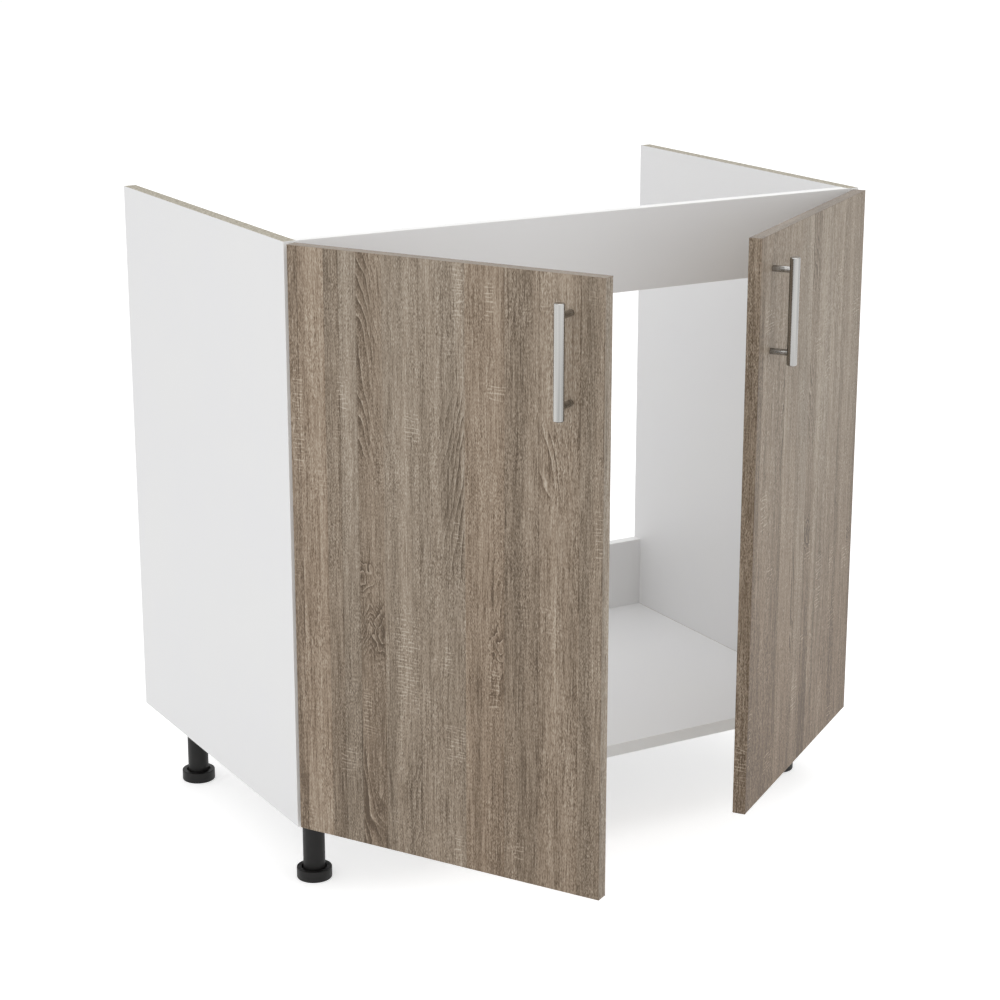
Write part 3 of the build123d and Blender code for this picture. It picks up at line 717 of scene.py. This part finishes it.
def beech_dowel():
    """Pale beech with short brown flecks along the dowel."""
    g = new_material("beech_dowel")
    streak = g.noise(g.scaled(g.place(), (60.0, 900.0, 900.0)), detail=3.0)
    fleck = g.noise(g.scaled(g.place(), (500.0, 2600.0, 2600.0)), detail=1.0)
    tone = g.plus(streak, g.times(g.step(fleck, 0.60, 0.70), -0.18))
    colour = g.colours(
        tone,
        (0.25, (176, 134, 92)),
        (0.5, (206, 168, 124)),
        (0.75, (222, 189, 148)),
    )
    return g.finish(
        Base_Color=colour,
        Roughness=0.62,
        Normal=g.bump(streak, 0.0001, 0.5),
    )


def soft_buffer():
    """Clear soft plastic, slightly milky."""
    g = new_material("soft_buffer")
    milk = g.noise(g.place(), scale=300.0)
    return g.finish(
        Base_Color=g.colours(milk, (0.3, (222, 224, 222)), (0.7, (236, 237, 235))),
        Roughness=g.plus(0.22, g.times(milk, 0.12)),
        IOR=1.45,
        Transmission_Weight=0.55,
        Normal=g.bump(milk, 0.0001, 0.4),
    )


def dress(nodes):
    """Gives every node of the part its finished material."""
    by_slot = {
        "white_board": white_board(),
        "white_edging": white_edging(),
        "brushed_steel": brushed_steel(),
        "hinge_nickel": plated("hinge_nickel", (176, 172, 164), (196, 192, 184), 0.27, 120.0),
        "die_cast_zinc": plated("die_cast_zinc", (138, 139, 141), (162, 163, 165), 0.45, 260.0),
        "plated_screw": plated("plated_screw", (168, 168, 166), (192, 192, 190), 0.30, 200.0),
        "leg_plastic": leg_plastic(),
        "beech_dowel": beech_dowel(),
        "soft_buffer": soft_buffer(),
    }
    by_node = {}
    for side, door in DOORS.items():
        by_node["door_panel_" + side] = oak_board("oak_board_" + side, door)
        by_node["door_bands_" + side] = oak_strips("oak_edging_" + side, door)
    for name, piece in nodes.items():
        for slot in piece.material_slots:
            plain_name = slot.material.name.split(".")[0]
            slot.material = by_node[name] if name in by_node else by_slot[plain_name]


def only_seen_directly(g):
    """1 for what the camera, a mirror or a glass sees, and 0 for light on the object."""
    path = g.add("LightPath").outputs
    return g.largest(path["Is Camera Ray"], path["Is Glossy Ray"], path["Is Transmission Ray"])


def make_floor():
    """A wide pale floor that looks white but keeps the cabinet's soft shadow."""
    half = FLOOR_HALF_SIZE
    mesh = bpy.data.meshes.new("floor")
    corners = [(-half, -half, 0), (half, -half, 0), (half, half, 0), (-half, half, 0)]
    mesh.from_pydata(corners, [], [(0, 1, 2, 3)])
    floor = bpy.data.objects.new("floor", mesh)
    bpy.context.scene.collection.objects.link(floor)
    g = new_material("floor")
    diffuse = g.add("BsdfDiffuse", {"Color": FLOOR_COLOUR})
    shine = g.times(only_seen_directly(g), FLOOR_GLOW)
    glow = g.add("Emission", {"Color": WHITE, "Strength": shine})
    both = g.add("AddShader", {0: diffuse.outputs[0], 1: glow.outputs[0]})
    g.add("OutputMaterial", {0: both.outputs[0]})
    mesh.materials.append(g.owner)


def make_world():
    """White all round for the camera, and an even grey light for the object."""
    world = bpy.data.worlds.new("studio")
    bpy.context.scene.world = world
    g = Graph(world)
    room = g.add("Background", {"Color": WHITE, "Strength": ROOM_LIGHT})
    backdrop = g.add("Background", {"Color": WHITE, "Strength": 1.0})
    shaders = {0: only_seen_directly(g), 1: room.outputs[0], 2: backdrop.outputs[0]}
    g.add("OutputWorld", {0: g.add("MixShader", shaders).outputs[0]})


def make_lamp(name, place, turn, size, power):
    """A square soft lamp. Its turn is in degrees, its size in metres, its power in watts."""
    lamp = bpy.data.lights.new(name, "AREA")
    lamp.size = size
    lamp.energy = power
    lamp_object = bpy.data.objects.new(name, lamp)
    lamp_object.location = place
    lamp_object.rotation_euler = [radians(value) for value in turn]
    bpy.context.scene.collection.objects.link(lamp_object)


def make_camera():
    """The photograph's viewpoint."""
    camera = bpy.data.cameras.new("camera")
    camera.lens = CAMERA_LENS
    camera.sensor_width = 36.0
    camera_object = bpy.data.objects.new("camera", camera)
    camera_object.location = CAMERA_PLACE
    camera_object.rotation_euler = (radians(90 - CAMERA_TILT), 0.0, -radians(CAMERA_PAN))
    bpy.context.scene.collection.objects.link(camera_object)
    bpy.context.scene.camera = camera_object


make_camera()
make_world()
make_floor()
make_lamp("key", (-2.3, -1.9, 2.5), (58.0, 0.0, -50.0), size=2.0, power=16.0)
make_lamp("top", (0.2, 0.0, 3.2), (0.0, 0.0, 0.0), size=2.0, power=13.0)
dress(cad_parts)
bpy.context.scene.view_settings.view_transform = "Standard"
